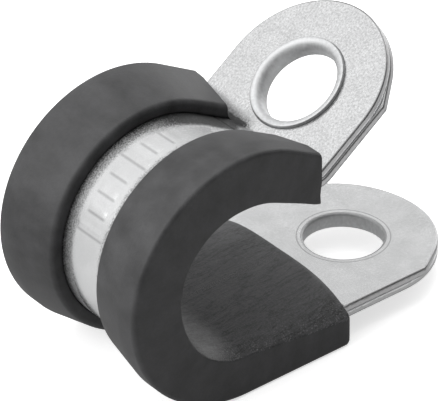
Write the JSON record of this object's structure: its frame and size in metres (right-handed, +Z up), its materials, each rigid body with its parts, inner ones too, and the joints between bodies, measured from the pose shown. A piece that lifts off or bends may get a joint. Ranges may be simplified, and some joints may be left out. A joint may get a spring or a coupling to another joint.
{
  "type": "p clip",
  "caption": "P clip: a plated steel band with drilled ears, bent round a rubber liner that grips a cable, hose or pipe and is fastened by one screw.",
  "frame": {"origin": "on the surface that the clip rests on, below the middle of its box", "axes": "+X from the loop to the ears, +Y along the loop's axis, +Z up from the flat lower limb"},
  "size_m": [0.0346, 0.0168, 0.0234],
  "materials": {
    "zinc_plated_steel": "bright zinc plate, fine rolled grain",
    "liner_rubber": "matte extruded rubber"
  },
  "bodies": {
    "root": {"band": "zinc_plated_steel", "plate_upper": "zinc_plated_steel", "plate_lower": "zinc_plated_steel", "liner": "liner_rubber"}
  },
  "joints": []
}
